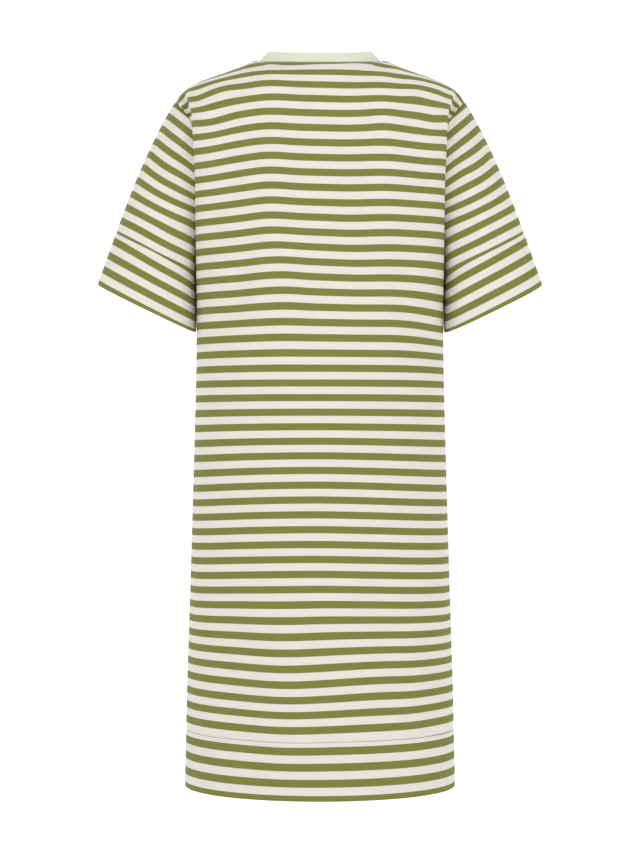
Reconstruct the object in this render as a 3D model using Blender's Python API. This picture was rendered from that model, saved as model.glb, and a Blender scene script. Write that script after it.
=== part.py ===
"""A striped jersey dress with short sleeves, filled out as if worn, as thin cloth walls.

Metres. X runs to the right of someone who looks at the wearer's back, -Y is the wearer's back
and Z is up. The origin is in the middle of the neck opening, level with the top of the shoulders.

Each piece of cloth is a net of points, row by row from the hem up, that follows the outside of
the garment. The inside is the same net moved in by the thickness of the cloth.
"""

import bpy
import bmesh
import numpy as np

# Lengths down the garment
HEM = -1.021
HEM_SEAM = -0.941
WAIST = -0.430
UNDERARM = -0.280
SLEEVE_BAND = 0.077

# Cloth and seams
JERSEY = 0.0016
NECK_RIB = 0.0024
SEAM_GAP = 0.0003

# Points in each net
HALF_COLUMNS = 15
COLUMN_SPREAD = 1.45
NECK_COLUMNS = 6
TOP_ROWS = 6
ARMHOLE_ROWS = 9
SKIRT_ROWS = 8
NECKBAND_ROWS = 5
WAIST_ROWS = 5
SLEEVE_ROWS = 5
BAND_ROWS = 3
FINE = 160
FINE_TURN = 40

BACK = -1
FRONT = 1

# For each sleeve, the body net's edge that it joins, and what mirrors the right side onto it
EDGES = {"left": (0, np.array((-1, 1, 1))), "right": (-1, np.array((1, 1, 1)))}

# How far round the fold at the side the cloth has turned when it meets the armhole
TURN_END = np.radians(65)

# Level sections of the body. The widest place lies "turn" in front of or behind the side seam.
SECTION_COLUMNS = ("z", "widest", "side", "back", "back_turn", "front", "front_turn")
SECTIONS = (
    (-1.021, 0.1904, 0.1904, 0.132, 0.000, 0.128, 0.000),
    (-0.909, 0.1880, 0.1880, 0.130, 0.000, 0.128, 0.000),
    (-0.740, 0.1826, 0.1826, 0.128, 0.000, 0.127, 0.000),
    (-0.570, 0.1777, 0.1777, 0.127, 0.000, 0.128, 0.000),
    (-0.430, 0.1739, 0.1737, 0.124, 0.004, 0.132, 0.004),
    (-0.340, 0.1723, 0.1716, 0.121, 0.026, 0.134, 0.020),
    (-0.280, 0.1724, 0.1715, 0.118, 0.040, 0.134, 0.030),
    (-0.200, 0.1725, 0.1675, 0.115, 0.056, 0.130, 0.056),
    (-0.140, 0.1745, 0.1675, 0.110, 0.058, 0.119, 0.060),
    (-0.086, 0.1780, 0.1700, 0.103, 0.049, 0.100, 0.050),
)

# The armhole on the wearer's right, from the tip of the shoulder down to the underarm
ARMHOLE_BACK = (
    (0.2050, 0.005, -0.0585),
    (0.1975, -0.018, -0.0690),
    (0.1890, -0.030, -0.0785),
    (0.1830, -0.038, -0.0860),
    (0.1715, -0.047, -0.1150),
    (0.1660, -0.050, -0.1550),
    (0.1675, -0.045, -0.2050),
    (0.1705, -0.033, -0.2520),
    (0.1715, -0.015, -0.2745),
    (0.1715, 0.000, -0.2800),
)
ARMHOLE_FRONT = (
    (0.2050, 0.005, -0.0585),
    (0.1990, 0.026, -0.0740),
    (0.1890, 0.039, -0.0930),
    (0.1800, 0.046, -0.1150),
    (0.1715, 0.051, -0.1500),
    (0.1690, 0.048, -0.2050),
    (0.1710, 0.033, -0.2520),
    (0.1715, 0.015, -0.2745),
    (0.1715, 0.000, -0.2800),
)
BACK_YOKE = -0.086
FRONT_YOKE = -0.115

# The shoulder seam on the wearer's right, from the neck to the tip
SHOULDER = (
    (0.0875, 0.005, -0.0015),
    (0.1250, 0.005, -0.0155),
    (0.1500, 0.005, -0.0240),
    (0.1720, 0.005, -0.0320),
    (0.1880, 0.005, -0.0405),
    (0.1985, 0.005, -0.0500),
    (0.2050, 0.005, -0.0585),
)

# The neck seam
NECK_HALF_WIDTH = 0.0875
NECK_BACK = 0.076
NECK_FRONT = 0.084
NECK_BACK_DROP = 0.013
NECK_FRONT_DROP = 0.086
NECK_SQUARENESS = 0.85
NECK_ROUNDNESS = 1.20

# The neckband leans in from the neck seam
BAND_IN_WIDTH = 0.83
BAND_IN_DEPTH = 0.86
BAND_RISE_BACK = 0.0150
BAND_RISE_FRONT = 0.019
BAND_START = 0.0005

# How far the cloth leans over where it meets the top edge, in degrees from upright: in the
# middle of the neck, where the neck meets the shoulder, and at the tip of the shoulder
LEAN = {BACK: (48, 88, 88), FRONT: (22, 64, 75)}

# How full the cloth is between the yoke line and the top edge
FULL_UP = {BACK: 0.75, FRONT: 0.55}
FULL_OVER = {BACK: 0.60, FRONT: 0.55}

# The largest folds: long, soft swellings of the cloth, each along a vertical line at x
FOLD_COLUMNS = ("side", "x", "half_width", "height", "top", "bottom", "fade")
FOLDS = (
    (BACK, -0.068, 0.040, 0.012, -0.080, -0.300, 0.120),
    (BACK, 0.088, 0.032, 0.008, -0.080, -0.240, 0.100),
    (BACK, 0.035, 0.030, -0.004, -0.080, -0.240, 0.100),
    (BACK, -0.047, 0.050, 0.010, -0.800, -0.930, 0.100),
    (FRONT, -0.075, 0.045, 0.007, -0.180, -0.340, 0.120),
    (FRONT, 0.075, 0.045, 0.007, -0.180, -0.340, 0.120),
)

# How far from the side seams, in depth, the folds have their full height
FOLD_FADE = 0.060

# The sleeves' openings. Each tilts so that its back hangs lower than its front, and lies flatter
# behind and in front than an ellipse.
CUFF_OUTER = np.array((0.3132, 0.0, -0.3155))
CUFF_INNER = np.array((0.1750, -0.018, -0.3835))
CUFF_HALF_DEPTH = 0.046
CUFF_SQUARENESS = 0.80
CUFF_TILT = {"left": 0.08, "right": 0.13}
CAP_ROUND = 0.046
UNDERARM_ROUND = 0.016
CUFF_ROUND = 0.018
SLEEVE_START = 0.0005
SLEEVE_PULL = 1 / 3

# Green and cream stripes of the same width, seen as one colour, and the neckband's cream
STRIPED = (0.53, 0.53, 0.38, 1.0)
NECK_CREAM = (0.775, 0.790, 0.650, 1.0)
CLOTH_ROUGHNESS = 0.85
SHARP_ANGLE = np.radians(50)


def unit(vectors):
    """Return the vectors at length one."""
    return vectors / np.linalg.norm(vectors, axis=-1, keepdims=True)


def level_slopes(knots, values):
    """Return slopes that never carry a curve past its neighbouring values."""
    rises = np.diff(values) / np.diff(knots)
    slopes = np.concatenate((rises[:1], rises[1:], rises[-1:]))
    before, after = rises[:-1], rises[1:]
    alike = before * after > 0
    total = np.where(alike, before + after, 1.0)
    slopes[1:-1] = np.where(alike, 2 * before * after / total, 0.0)
    return slopes


def smooth_value(knots, values, at):
    """Read a smooth curve through the values at rising knots."""
    knots = np.asarray(knots, float)
    values = np.asarray(values, float)
    if values.ndim > 1:
        slopes = np.gradient(values, knots, axis=0)
    else:
        slopes = level_slopes(knots, values)
    i = np.clip(np.searchsorted(knots, at) - 1, 0, len(knots) - 2)
    step = knots[i + 1] - knots[i]
    t = (at - knots[i]) / step
    if values.ndim > 1:
        t = t[..., None]
        step = step[..., None]
    start = (2 * t**3 - 3 * t**2 + 1) * values[i] + (t**3 - 2 * t**2 + t) * step * slopes[i]
    end = (3 * t**2 - 2 * t**3) * values[i + 1] + (t**3 - t**2) * step * slopes[i + 1]
    return start + end


def lengths_along(line):
    """Return the distance of each point from the line's start."""
    steps = np.linalg.norm(np.diff(line, axis=0), axis=1)
    return np.concatenate(((0.0,), np.cumsum(steps)))


def at_shares(line, shares):
    """Return the points at these shares of a line's length."""
    along = lengths_along(line)
    wanted = np.asarray(shares) * along[-1]
    return np.stack([np.interp(wanted, along, line[:, axis]) for axis in range(3)], axis=1)


def smooth_line(points):
    """Return a fine smooth line through a few points."""
    points = np.asarray(points, float)
    knots = lengths_along(points)
    return smooth_value(knots, points, np.linspace(0.0, knots[-1], FINE))


def smooth_step(value):
    """Rise from 0 to 1 with flat ends."""
    t = np.clip(value, 0.0, 1.0)
    return t * t * (3 - 2 * t)


def section(column, z):
    """Read one column of the table of level sections at a height."""
    rows = np.array(SECTIONS)
    return smooth_value(rows[:, 0], rows[:, SECTION_COLUMNS.index(column)], z)


def fold_height(side, x, z):
    """Add up the soft folds of one side at a place."""
    total = np.zeros_like(x)
    for fold in FOLDS:
        row = dict(zip(FOLD_COLUMNS, fold))
        if row["side"] == side:
            across = np.exp(-((x - row["x"]) / row["half_width"]) ** 2)
            below_top = smooth_step((row["top"] + row["fade"] - z) / row["fade"])
            above_bottom = smooth_step((z - row["bottom"] + row["fade"]) / row["fade"])
            total += row["height"] * across * below_top * above_bottom
    return total


def half_row(side, z, edge, hand):
    """Return a level line from the middle of one side to the edge of the piece.

    edge is the end of the line as (x, depth), with depth measured out from the side seam.
    """
    name = "back" if side == BACK else "front"
    widest = section("widest", z)
    depth = section(name, z)
    turn = section(name + "_turn", z)
    round_body = np.linspace(0.0, np.pi / 2, FINE)
    round_fold = np.linspace(0.0, TURN_END, FINE_TURN)[1:]
    x_body = widest * np.sin(round_body)
    d_body = turn + (depth - turn) * np.cos(round_body)
    x_fold = widest - (widest - edge[0]) * (1 - np.cos(round_fold)) / (1 - np.cos(TURN_END))
    d_fold = turn + (edge[1] - turn) * np.sin(round_fold) / np.sin(TURN_END)
    x = hand * np.concatenate((x_body, x_fold))
    d = np.concatenate((d_body, d_fold))
    d += fold_height(side, x, z) * smooth_step(d / FOLD_FADE)
    return np.stack((x, side * d, np.full_like(x, z)), axis=1)


def column_shares():
    """Return the columns' places from the middle to the edge, closer together at the edge."""
    return 1 - (1 - np.arange(HALF_COLUMNS + 1) / HALF_COLUMNS) ** COLUMN_SPREAD


def inset_shares(line):
    """Return the columns' shares of a line that stops half a seam gap short."""
    whole = lengths_along(line)[-1]
    return column_shares() * (1 - SEAM_GAP / 2 / whole)


def armhole(side):
    """Return the armhole's points from the tip down, with rows for the yoke first."""
    line = smooth_line(ARMHOLE_BACK if side == BACK else ARMHOLE_FRONT)
    yoke = BACK_YOKE if side == BACK else FRONT_YOKE
    split = int(np.argmin(np.abs(line[:, 2] - yoke)))
    top = at_shares(line[:split + 1], np.linspace(0.0, 1.0, TOP_ROWS + 1))
    lower = at_shares(line[split:], np.linspace(0.0, 1.0, ARMHOLE_ROWS + 1))
    return np.concatenate((top, lower[1:]))


def neck_point(side, share):
    """Return a point of the neck seam, at a share of the way from its middle to the shoulder."""
    angle = share * np.pi / 2
    depth = NECK_BACK if side == BACK else NECK_FRONT
    drop = NECK_BACK_DROP if side == BACK else NECK_FRONT_DROP
    x = NECK_HALF_WIDTH * np.sin(angle) ** NECK_SQUARENESS
    y = SHOULDER[0][1] + side * depth * np.cos(angle)
    z = SHOULDER[0][2] - drop * np.maximum(np.cos(angle), 0.0) ** NECK_ROUNDNESS
    return np.stack((x, y, z), axis=-1)


def top_line(side):
    """Return the top edge of one side at each column: the neck, then the shoulder."""
    neck = neck_point(side, np.linspace(0.0, 1.0, NECK_COLUMNS + 1))
    shares = column_shares()[NECK_COLUMNS:]
    shares = (shares - shares[0]) / (1 - shares[0])
    return np.concatenate((neck, at_shares(smooth_line(SHOULDER), shares)[1:]))


def top_directions(side):
    """Return the way the cloth runs where it meets the top edge, at each column."""
    places = (0, NECK_COLUMNS, HALF_COLUMNS)
    angle = np.radians(np.interp(np.arange(HALF_COLUMNS + 1), places, LEAN[side]))
    zero = np.zeros_like(angle)
    return np.stack((zero, -side * np.sin(angle), np.cos(angle)), axis=1)


def bezier(start, start_pull, end_pull, end, count):
    """Return evenly spaced points on a curve with two handles."""
    t = np.linspace(0.0, 1.0, FINE)[:, None]
    line = ((1 - t) ** 3 * start + 3 * (1 - t) ** 2 * t * start_pull
            + 3 * (1 - t) * t**2 * end_pull + t**3 * end)
    return at_shares(line, np.linspace(0.0, 1.0, count))


def yoke_rows(side, hand, yoke, below):
    """Return the rows that carry the cloth from the yoke line over to the top edge."""
    top = top_line(side) * (hand, 1, 1)
    directions = top_directions(side)
    top = top - directions * SEAM_GAP / 2
    hole = armhole(side)[:TOP_ROWS + 1][::-1] * (hand, 1, 1)
    rows = np.empty((TOP_ROWS + 1, HALF_COLUMNS + 1, 3))
    for column in range(HALF_COLUMNS + 1):
        up = unit(yoke[column] - below[column])
        rise = top[column, 2] - yoke[column, 2]
        reach = abs(top[column, 1] - yoke[column, 1])
        start_pull = yoke[column] + up * rise * FULL_UP[side]
        end_pull = top[column] - directions[column] * reach * FULL_OVER[side]
        rows[:, column] = bezier(yoke[column], start_pull, end_pull, top[column], TOP_ROWS + 1)
    edge_in = unit(rows[:, -2] - hole) * SEAM_GAP / 2
    rows[1:, -1] = (hole + edge_in)[1:]
    return rows[1:]


def body_heights():
    """Return the heights of the level rows below the underarm, with two at the hem seam."""
    band = np.linspace(HEM, HEM_SEAM - SEAM_GAP / 2, BAND_ROWS)
    skirt = np.linspace(HEM_SEAM + SEAM_GAP / 2, WAIST, SKIRT_ROWS + 1)
    waist = np.linspace(WAIST, UNDERARM, WAIST_ROWS + 1)[1:-1]
    return np.concatenate((band, skirt, waist))


def body_half(side, hand):
    """Return the net of one half of one side, from hem to top and from middle to edge."""
    rows = []
    for z in body_heights():
        line = half_row(side, z, (section("side", z), 0.0), hand)
        rows.append(at_shares(line, inset_shares(line)))
    for point in armhole(side)[TOP_ROWS:][::-1]:
        line = half_row(side, point[2], (point[0], side * point[1]), hand)
        rows.append(at_shares(line, inset_shares(line)))
    rows = np.array(rows)
    return np.concatenate((rows, yoke_rows(side, hand, rows[-1], rows[-2])))


def body_side(side):
    """Return the net of the whole back or front, from left to right."""
    left = body_half(side, -1)[:, ::-1]
    right = body_half(side, 1)
    return np.concatenate((left[:, :-1], right), axis=1)


def net_normals(net, around, inside):
    """Return the way out of the cloth at each point of a net."""
    if around:
        wide = np.concatenate((net[:, -1:], net, net[:, :1]), axis=1)
        across = np.gradient(wide, axis=1)[:, 1:-1]
    else:
        across = np.gradient(net, axis=1)
    along = np.gradient(net, axis=0)
    normals = unit(np.cross(across, along))
    if np.sum(normals * (net - inside)) < 0:
        normals = -normals
    return normals


def share_normals(first, second):
    """Make the walls of two pieces meet squarely where their surfaces run on into each other."""
    alike = np.maximum(0.0, np.sum(first * second, axis=-1, keepdims=True))
    return unit(first + alike * second), unit(second + alike * first)


def sleeve_ring():
    """Return the right armhole as one loop: tip, back, underarm, front."""
    back = armhole(BACK)
    front = armhole(FRONT)
    return np.concatenate((back, front[::-1][1:-1]))


def cuff_half(backward, side):
    """Return half of a sleeve's opening on the right, from its outer to its inner end."""
    middle = (CUFF_OUTER + CUFF_INNER) / 2
    angles = np.linspace(0.0, np.pi, FINE)[:, None]
    across = np.sign(np.cos(angles)) * np.abs(np.cos(angles)) ** CUFF_SQUARENESS
    out = np.abs(np.sin(angles)) ** CUFF_SQUARENESS
    line = middle + (CUFF_OUTER - middle) * across - side * backward * out
    along = lengths_along(armhole(side))
    return at_shares(line, along / along[-1])


def cuff_ring(tilt):
    """Return a sleeve's opening on the right as one loop with the same points as the armhole."""
    backward = np.array((0.0, -1.0, -tilt)) * CUFF_HALF_DEPTH
    back = cuff_half(backward, BACK)
    front = cuff_half(backward, FRONT)
    return np.concatenate((back, front[::-1][1:-1]))


def sleeve_net(ring_normals, tilt):
    """Return a sleeve's net on the right from cuff to armhole, with two rows at the band's seam."""
    ring = sleeve_ring()
    cuff = cuff_ring(tilt)
    run = cuff - ring
    length = np.linalg.norm(run, axis=1, keepdims=True)
    outer = (1 + np.cos(np.linspace(0.0, 2 * np.pi, len(ring), endpoint=False)))[:, None] / 2
    outward = CAP_ROUND * outer + UNDERARM_ROUND * (1 - outer)
    leave = unit(run + outward * np.array((1.0, 0.0, 0.0)))
    arrive = unit(run - outer * np.array((CUFF_ROUND, 0.0, 0.0)))
    start = ring + unit(leave + ring_normals) * SLEEVE_START
    columns = []
    for i in range(len(ring)):
        line = bezier(start[i], start[i] + leave[i] * length[i] * SLEEVE_PULL,
                      cuff[i] - arrive[i] * length[i] * SLEEVE_PULL, cuff[i], FINE)
        whole = lengths_along(line)[-1]
        band = np.linspace(0.0, SLEEVE_BAND - SEAM_GAP / 2, BAND_ROWS)
        upper = np.linspace(SLEEVE_BAND + SEAM_GAP / 2, whole, SLEEVE_ROWS + 1)
        columns.append(at_shares(line[::-1], np.concatenate((band, upper)) / whole))
    return np.stack(columns, axis=1)


def neckband_net():
    """Return the neckband's net, from the neck seam up, all round from left to right behind."""
    right = neck_point(BACK, np.linspace(0.0, 1.0, NECK_COLUMNS + 1))
    behind = np.concatenate((right[::-1] * (-1, 1, 1), right[1:]))
    right = neck_point(FRONT, np.linspace(0.0, 1.0, NECK_COLUMNS + 1))
    before = np.concatenate((right[::-1], right[1:] * (-1, 1, 1)))
    seam = np.concatenate((behind, before[1:-1]))
    ahead = np.clip(seam[:, 1] / NECK_FRONT, 0.0, 1.0)
    top = seam * (BAND_IN_WIDTH, BAND_IN_DEPTH, 1.0)
    top[:, 1] += SHOULDER[0][1] * (1 - BAND_IN_DEPTH)
    top[:, 2] += BAND_RISE_BACK + (BAND_RISE_FRONT - BAND_RISE_BACK) * ahead
    seam = seam + unit(top - seam) * BAND_START
    shares = np.linspace(0.0, 1.0, NECKBAND_ROWS)[:, None, None]
    return seam + (top - seam) * shares


def make_material(name, colour):
    """Return a plain cloth material."""
    material = bpy.data.materials.new(name)
    material.use_nodes = True
    shader = material.node_tree.nodes["Principled BSDF"]
    shader.inputs["Base Color"].default_value = colour
    shader.inputs["Roughness"].default_value = CLOTH_ROUGHNESS
    shader.inputs["Metallic"].default_value = 0.0
    material.diffuse_color = colour
    return material


def add_wall(name, net, normals, thickness, around, material, collection):
    """Make one closed wall from a net of points and the same net moved in."""
    rows, columns = net.shape[:2]
    inner = net - normals * thickness
    points = np.concatenate((net.reshape(-1, 3), inner.reshape(-1, 3)))
    offset = rows * columns
    faces = []
    last = columns if around else columns - 1
    for row in range(rows - 1):
        for column in range(last):
            a = row * columns + column
            b = row * columns + (column + 1) % columns
            quad = (a, b, b + columns, a + columns)
            faces.append(quad)
            faces.append(tuple(corner + offset for corner in reversed(quad)))
    for row in (0, rows - 1):
        for column in range(last):
            a = row * columns + column
            b = row * columns + (column + 1) % columns
            faces.append((a, b, b + offset, a + offset))
    if not around:
        for column in (0, columns - 1):
            for row in range(rows - 1):
                a = row * columns + column
                faces.append((a, a + columns, a + columns + offset, a + offset))
    mesh = bpy.data.meshes.new(name)
    mesh.from_pydata(points.tolist(), [], faces)
    whole = bmesh.new()
    whole.from_mesh(mesh)
    bmesh.ops.recalc_face_normals(whole, faces=whole.faces)
    whole.to_mesh(mesh)
    whole.free()
    mesh.shade_smooth()
    mesh.set_sharp_from_angle(angle=SHARP_ANGLE)
    mesh.materials.append(material)
    piece = bpy.data.objects.new(name, mesh)
    collection.objects.link(piece)
    return piece


def join_body(back_out, front_out):
    """Share the walls' directions along the side seams and the shoulder seams."""
    skirt = len(body_heights()) + 1
    for edge in (0, -1):
        shared = share_normals(back_out[:skirt, edge], front_out[:skirt, edge])
        back_out[:skirt, edge], front_out[:skirt, edge] = shared
    shared = share_normals(back_out[-1], front_out[-1])
    for columns in (slice(0, HALF_COLUMNS - NECK_COLUMNS + 1),
                    slice(HALF_COLUMNS + NECK_COLUMNS, None)):
        back_out[-1, columns] = shared[0][columns]
        front_out[-1, columns] = shared[1][columns]


def armhole_normals(back_out, front_out, name):
    """Return the body's way out round an armhole, in the sleeve's order, as on the right."""
    edge, turn = EDGES[name]
    ring_rows = TOP_ROWS + ARMHOLE_ROWS + 1
    behind = back_out[-ring_rows:, edge][::-1]
    before = front_out[-ring_rows:, edge]
    return np.concatenate((behind, before[1:-1])) * turn


def join_sleeve(sleeve_out, back_out, front_out, name):
    """Share the walls' directions round an armhole."""
    edge, turn = EDGES[name]
    ring_rows = TOP_ROWS + ARMHOLE_ROWS + 1
    ring = armhole_normals(back_out, front_out, name)
    sleeve_out[-1], ring = share_normals(sleeve_out[-1], ring)
    back_out[-ring_rows:, edge] = ring[:ring_rows][::-1] * turn
    front_out[-ring_rows:, edge] = np.concatenate((ring[ring_rows - 1:], ring[:1])) * turn


def join_neckband(band_out, back_out, front_out):
    """Share the walls' directions round the neck seam."""
    neck = slice(HALF_COLUMNS - NECK_COLUMNS, HALF_COLUMNS + NECK_COLUMNS + 1)
    behind = slice(0, 2 * NECK_COLUMNS + 1)
    before = np.concatenate((np.arange(2 * NECK_COLUMNS, 4 * NECK_COLUMNS), (0,)))[::-1]
    shared = share_normals(band_out[0, behind], back_out[-1, neck])
    band_out[0, behind], back_out[-1, neck] = shared
    shared = share_normals(band_out[0, before], front_out[-1, neck])
    band_out[0, before], front_out[-1, neck] = shared


def build_dress():
    """Build every piece of the dress."""
    for old in list(bpy.data.objects):
        bpy.data.objects.remove(old)
    collection = bpy.data.collections.new("jersey_dress")
    bpy.context.scene.collection.children.link(collection)
    jersey = make_material("striped_jersey", STRIPED)
    rib = make_material("cream_rib", NECK_CREAM)

    back = body_side(BACK)
    front = body_side(FRONT)
    back_out = net_normals(back, False, np.zeros(3))
    front_out = net_normals(front, False, np.zeros(3))
    join_body(back_out, front_out)
    sleeves = {}
    for name in EDGES:
        ring_normals = armhole_normals(back_out, front_out, name)
        sleeve = sleeve_net(ring_normals, CUFF_TILT[name])
        sleeve_out = net_normals(sleeve, True, sleeve.mean(axis=1, keepdims=True))
        join_sleeve(sleeve_out, back_out, front_out, name)
        sleeves[name] = (sleeve, sleeve_out)
    band = neckband_net()
    band_out = net_normals(band, True, band.mean(axis=1, keepdims=True))
    join_neckband(band_out, back_out, front_out)

    for name, net, out in (("back", back, back_out), ("front", front, front_out)):
        add_wall(name + "_panel", net[BAND_ROWS:], out[BAND_ROWS:], JERSEY, False, jersey, collection)
        add_wall("hem_band_" + name, net[:BAND_ROWS], out[:BAND_ROWS],
                 JERSEY, False, jersey, collection)
    for name, (sleeve, sleeve_out) in sleeves.items():
        turn = EDGES[name][1]
        add_wall("sleeve_" + name, sleeve[BAND_ROWS:] * turn, sleeve_out[BAND_ROWS:] * turn,
                 JERSEY, True, jersey, collection)
        add_wall("sleeve_band_" + name, sleeve[:BAND_ROWS] * turn, sleeve_out[:BAND_ROWS] * turn,
                 JERSEY, True, jersey, collection)
    add_wall("neckband", band, band_out, NECK_RIB, True, rib, collection)


build_dress()
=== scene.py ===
"""A striped jersey dress in fine cloth shells, with stripes, knit, seams and soft creases.

Metres, with Z up. The dress is seen from behind: -Y is the wearer's back and +X the wearer's
right. The origin is in the middle of the neck opening. Each piece of cloth is a net of points
in rows from its lower edge up, and carries its count of stripes as a UV layer.
"""

import bpy
import numpy as np
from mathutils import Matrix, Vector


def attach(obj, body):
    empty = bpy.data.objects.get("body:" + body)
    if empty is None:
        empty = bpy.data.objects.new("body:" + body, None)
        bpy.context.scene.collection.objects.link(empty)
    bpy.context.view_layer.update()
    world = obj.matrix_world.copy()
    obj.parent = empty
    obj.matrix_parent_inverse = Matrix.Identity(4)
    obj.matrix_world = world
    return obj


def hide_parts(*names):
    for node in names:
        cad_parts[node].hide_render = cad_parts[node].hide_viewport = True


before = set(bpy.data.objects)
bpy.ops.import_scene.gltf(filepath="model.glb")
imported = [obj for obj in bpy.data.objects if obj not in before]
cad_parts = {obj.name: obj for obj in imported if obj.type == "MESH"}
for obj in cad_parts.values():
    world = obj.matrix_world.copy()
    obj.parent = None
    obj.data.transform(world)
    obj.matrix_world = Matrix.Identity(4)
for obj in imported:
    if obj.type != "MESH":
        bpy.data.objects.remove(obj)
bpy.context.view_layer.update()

# Lengths down the garment
HEM = -1.021
HEM_SEAM = -0.941
WAIST = -0.430
UNDERARM = -0.280
SLEEVE_BAND = 0.077

# Cloth and seams
JERSEY = 0.0016
NECK_RIB = 0.0024
SEAM_GAP = 0.0003

BACK = -1
FRONT = 1
SIDES = {"back": BACK, "front": FRONT}

# For each sleeve, the body net's edge that it joins, and what mirrors the right side onto it
EDGES = {"left": (0, (-1, 1, 1)), "right": (-1, (1, 1, 1))}

# How far round the fold at the side the cloth has turned when it meets the armhole
TURN_END = np.radians(65)

# Level sections of the body. The widest place lies "turn" in front of or behind the side seam.
SECTION_COLUMNS = ("z", "widest", "side", "back", "back_turn", "front", "front_turn")
SECTIONS = (
    (-1.021, 0.1904, 0.1904, 0.132, 0.000, 0.128, 0.000),
    (-0.909, 0.1880, 0.1880, 0.130, 0.000, 0.128, 0.000),
    (-0.740, 0.1826, 0.1826, 0.128, 0.000, 0.127, 0.000),
    (-0.570, 0.1777, 0.1777, 0.127, 0.000, 0.128, 0.000),
    (-0.430, 0.1739, 0.1737, 0.124, 0.004, 0.132, 0.004),
    (-0.340, 0.1723, 0.1716, 0.121, 0.026, 0.134, 0.020),
    (-0.280, 0.1724, 0.1715, 0.118, 0.040, 0.134, 0.030),
    (-0.200, 0.1725, 0.1675, 0.115, 0.056, 0.130, 0.056),
    (-0.140, 0.1745, 0.1675, 0.110, 0.058, 0.119, 0.060),
    (-0.086, 0.1780, 0.1700, 0.103, 0.049, 0.100, 0.050),
)

# The armhole on the wearer's right, from the tip of the shoulder down to the underarm
ARMHOLE_BACK = (
    (0.2050, 0.005, -0.0585),
    (0.1975, -0.018, -0.0690),
    (0.1890, -0.030, -0.0785),
    (0.1830, -0.038, -0.0860),
    (0.1715, -0.047, -0.1150),
    (0.1660, -0.050, -0.1550),
    (0.1675, -0.045, -0.2050),
    (0.1705, -0.033, -0.2520),
    (0.1715, -0.015, -0.2745),
    (0.1715, 0.000, -0.2800),
)
ARMHOLE_FRONT = (
    (0.2050, 0.005, -0.0585),
    (0.1990, 0.026, -0.0740),
    (0.1890, 0.039, -0.0930),
    (0.1800, 0.046, -0.1150),
    (0.1715, 0.051, -0.1500),
    (0.1690, 0.048, -0.2050),
    (0.1710, 0.033, -0.2520),
    (0.1715, 0.015, -0.2745),
    (0.1715, 0.000, -0.2800),
)
BACK_YOKE = -0.086
FRONT_YOKE = -0.115

# The shoulder seam on the wearer's right, from the neck to the tip
SHOULDER = (
    (0.0875, 0.005, -0.0015),
    (0.1250, 0.005, -0.0155),
    (0.1500, 0.005, -0.0240),
    (0.1720, 0.005, -0.0320),
    (0.1880, 0.005, -0.0405),
    (0.1985, 0.005, -0.0500),
    (0.2050, 0.005, -0.0585),
)

# The neck seam
NECK_HALF_WIDTH = 0.0875
NECK_BACK = 0.076
NECK_FRONT = 0.084
NECK_BACK_DROP = 0.013
NECK_FRONT_DROP = 0.086
NECK_SQUARENESS = 0.85
NECK_ROUNDNESS = 1.20

# The neckband leans in from the neck seam
BAND_IN_WIDTH = 0.83
BAND_IN_DEPTH = 0.86
BAND_RISE_BACK = 0.0150
BAND_RISE_FRONT = 0.019
BAND_START = 0.0005

# How far the cloth leans over where it meets the top edge, in degrees from upright: in the
# middle of the neck, at its end on the shoulder, and at the tip of the shoulder
LEAN = {BACK: (48, 88, 88), FRONT: (22, 64, 75)}

# How full the cloth is between the yoke line and the top edge
FULL_UP = {BACK: 0.75, FRONT: 0.55}
FULL_OVER = {BACK: 0.60, FRONT: 0.55}

# The largest folds: long, soft swellings of the cloth, each along a vertical line at x
FOLD_COLUMNS = ("side", "x", "half_width", "height", "top", "bottom", "fade")
FOLDS = (
    (BACK, -0.068, 0.040, 0.012, -0.080, -0.300, 0.120),
    (BACK, 0.088, 0.032, 0.008, -0.080, -0.240, 0.100),
    (BACK, 0.035, 0.030, -0.004, -0.080, -0.240, 0.100),
    (BACK, -0.047, 0.050, 0.010, -0.800, -0.930, 0.100),
    (FRONT, -0.075, 0.045, 0.007, -0.180, -0.340, 0.120),
    (FRONT, 0.075, 0.045, 0.007, -0.180, -0.340, 0.120),
)

# How far from the side seams, in depth, the folds have their full height
FOLD_FADE = 0.060

# The sleeves' openings. Each tilts so that its back hangs lower than its front, and lies flatter
# behind and in front than an ellipse.
CUFF_OUTER = np.array((0.3132, 0.0, -0.3155))
CUFF_INNER = np.array((0.1734, -0.018, -0.3835))
CUFF_HALF_DEPTH = 0.046
CUFF_SQUARENESS = 0.80
CUFF_TILT = {"left": 0.08, "right": 0.13}
CAP_ROUND = 0.046
UNDERARM_ROUND = 0.006
CUFF_ROUND = 0.018
SLEEVE_START = 0.0005
SLEEVE_PULL = 1 / 3

# How finely the cloth is drawn: rows and columns of each net, and points on the lines between
HALF_COLUMNS = 70
COLUMN_SPREAD = 1.45
NECK_COLUMNS = 28
TOP_ROWS = 40
ARMHOLE_ROWS = 54
RING_ROWS = TOP_ROWS + ARMHOLE_ROWS + 1
BAND_ROWS = 24
SKIRT_ROWS = 150
WAIST_ROWS = 44
SLEEVE_ROWS = 56
NECKBAND_ROWS = 12
FINE = 700
FINE_TURN = 175
FINE_PITCH = 1400

# Extra rows this far from the edges that are sewn
CLOSE_TO_SEAM = (0.0003, 0.0008, 0.0016, 0.0028)

# The cloth dips into its seams, and its edges are rounded down to a share of their thickness
SEAM_DIP = 0.0005
SEAM_DIP_WIDTH = 0.004
EDGE_LEFT = 0.10

# The neckband's ribs, and how far from its edges they have their full depth
RIBS = 300
POINTS_A_RIB = 4
RIB_HALF_DEPTH = 0.00018
RIB_FADE = 0.0015

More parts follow.
